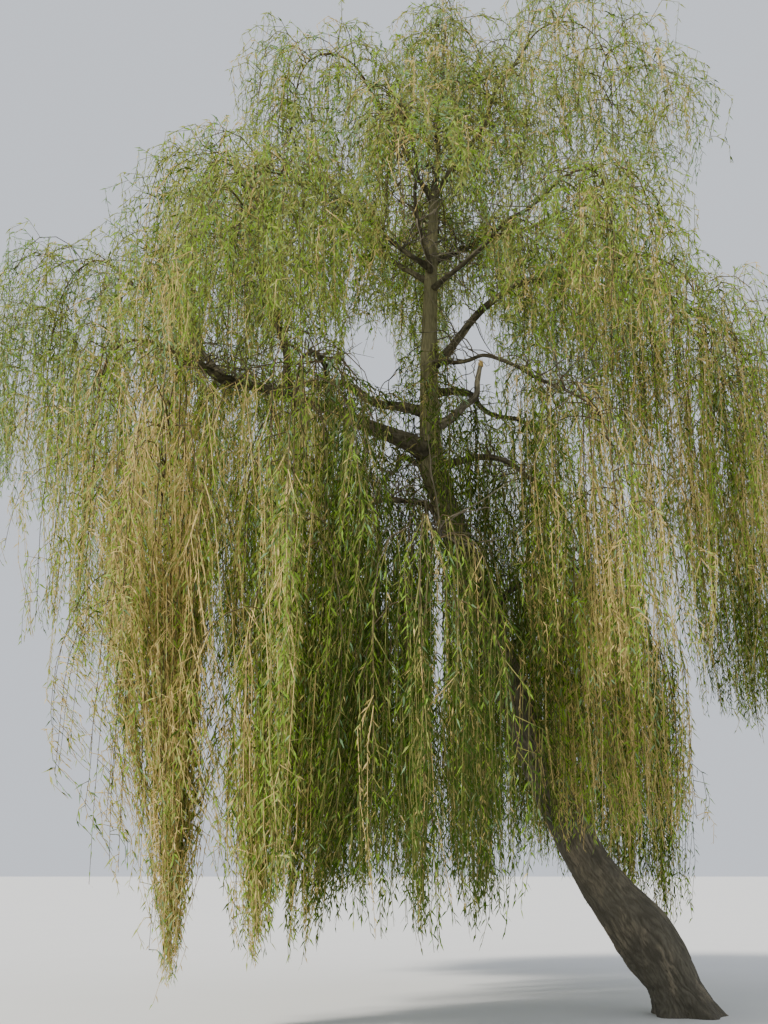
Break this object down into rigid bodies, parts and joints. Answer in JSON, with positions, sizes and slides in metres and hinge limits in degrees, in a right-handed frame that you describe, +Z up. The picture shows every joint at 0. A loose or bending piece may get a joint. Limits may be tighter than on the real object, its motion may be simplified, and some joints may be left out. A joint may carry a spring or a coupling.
{
  "type": "weeping willow tree",
  "caption": "Leaning weeping willow with an upright crown of boughs and long hanging curtains of leaves down to the ground.",
  "frame": {"origin": "in the flat cut under the trunk at ground level, on the trunk's heart", "axes": "+Z up; the trunk leans towards -X; -Y is the side the picture sees"},
  "size_m": [12.0717, 9.2793, 13.9052],
  "materials": {
    "bark": "ridged grey-brown bark",
    "dead_wood": "bare weathered wood",
    "foliage": "small matt spring leaves"
  },
  "bodies": {
    "root": {"bough_back": "bark", "bough_back_right": "bark", "bough_front": "bark", "bough_left": "bark", "bough_left_back": "bark", "bough_left_drop": "bark", "bough_left_far": "bark", "bough_left_front": "bark", "bough_left_rise": "bark", "bough_low_back": "bark", "bough_low_left": "bark", "bough_low_right": "bark", "bough_right": "bark", "bough_right_far": "bark", "bough_right_low": "bark", "bough_right_thin": "bark", "bough_upper_back_left": "bark", "bough_upper_back_right": "bark", "bough_upper_left": "bark", "bough_upper_right": "bark", "dead_stub": "dead_wood", "foliage_back": "foliage", "foliage_back_right": "foliage", "foliage_front": "foliage", "foliage_left": "foliage", "foliage_left_back": "foliage", "foliage_left_drop": "foliage", "foliage_left_far": "foliage", "foliage_left_front": "foliage", "foliage_left_rise": "foliage", "foliage_low_back": "foliage", "foliage_low_left": "foliage", "foliage_low_right": "foliage", "foliage_right": "foliage", "foliage_right_far": "foliage", "foliage_right_low": "foliage", "foliage_right_thin": "foliage", "foliage_top_back": "foliage", "foliage_top_front": "foliage", "foliage_top_left": "foliage", "foliage_top_middle": "foliage", "foliage_top_right": "foliage", "foliage_upper_back_left": "foliage", "foliage_upper_back_right": "foliage", "foliage_upper_left": "foliage", "foliage_upper_right": "foliage", "leader_back": "bark", "leader_front": "bark", "leader_left": "bark", "leader_middle": "bark", "leader_right": "bark", "trunk": "bark"}
  },
  "joints": []
}
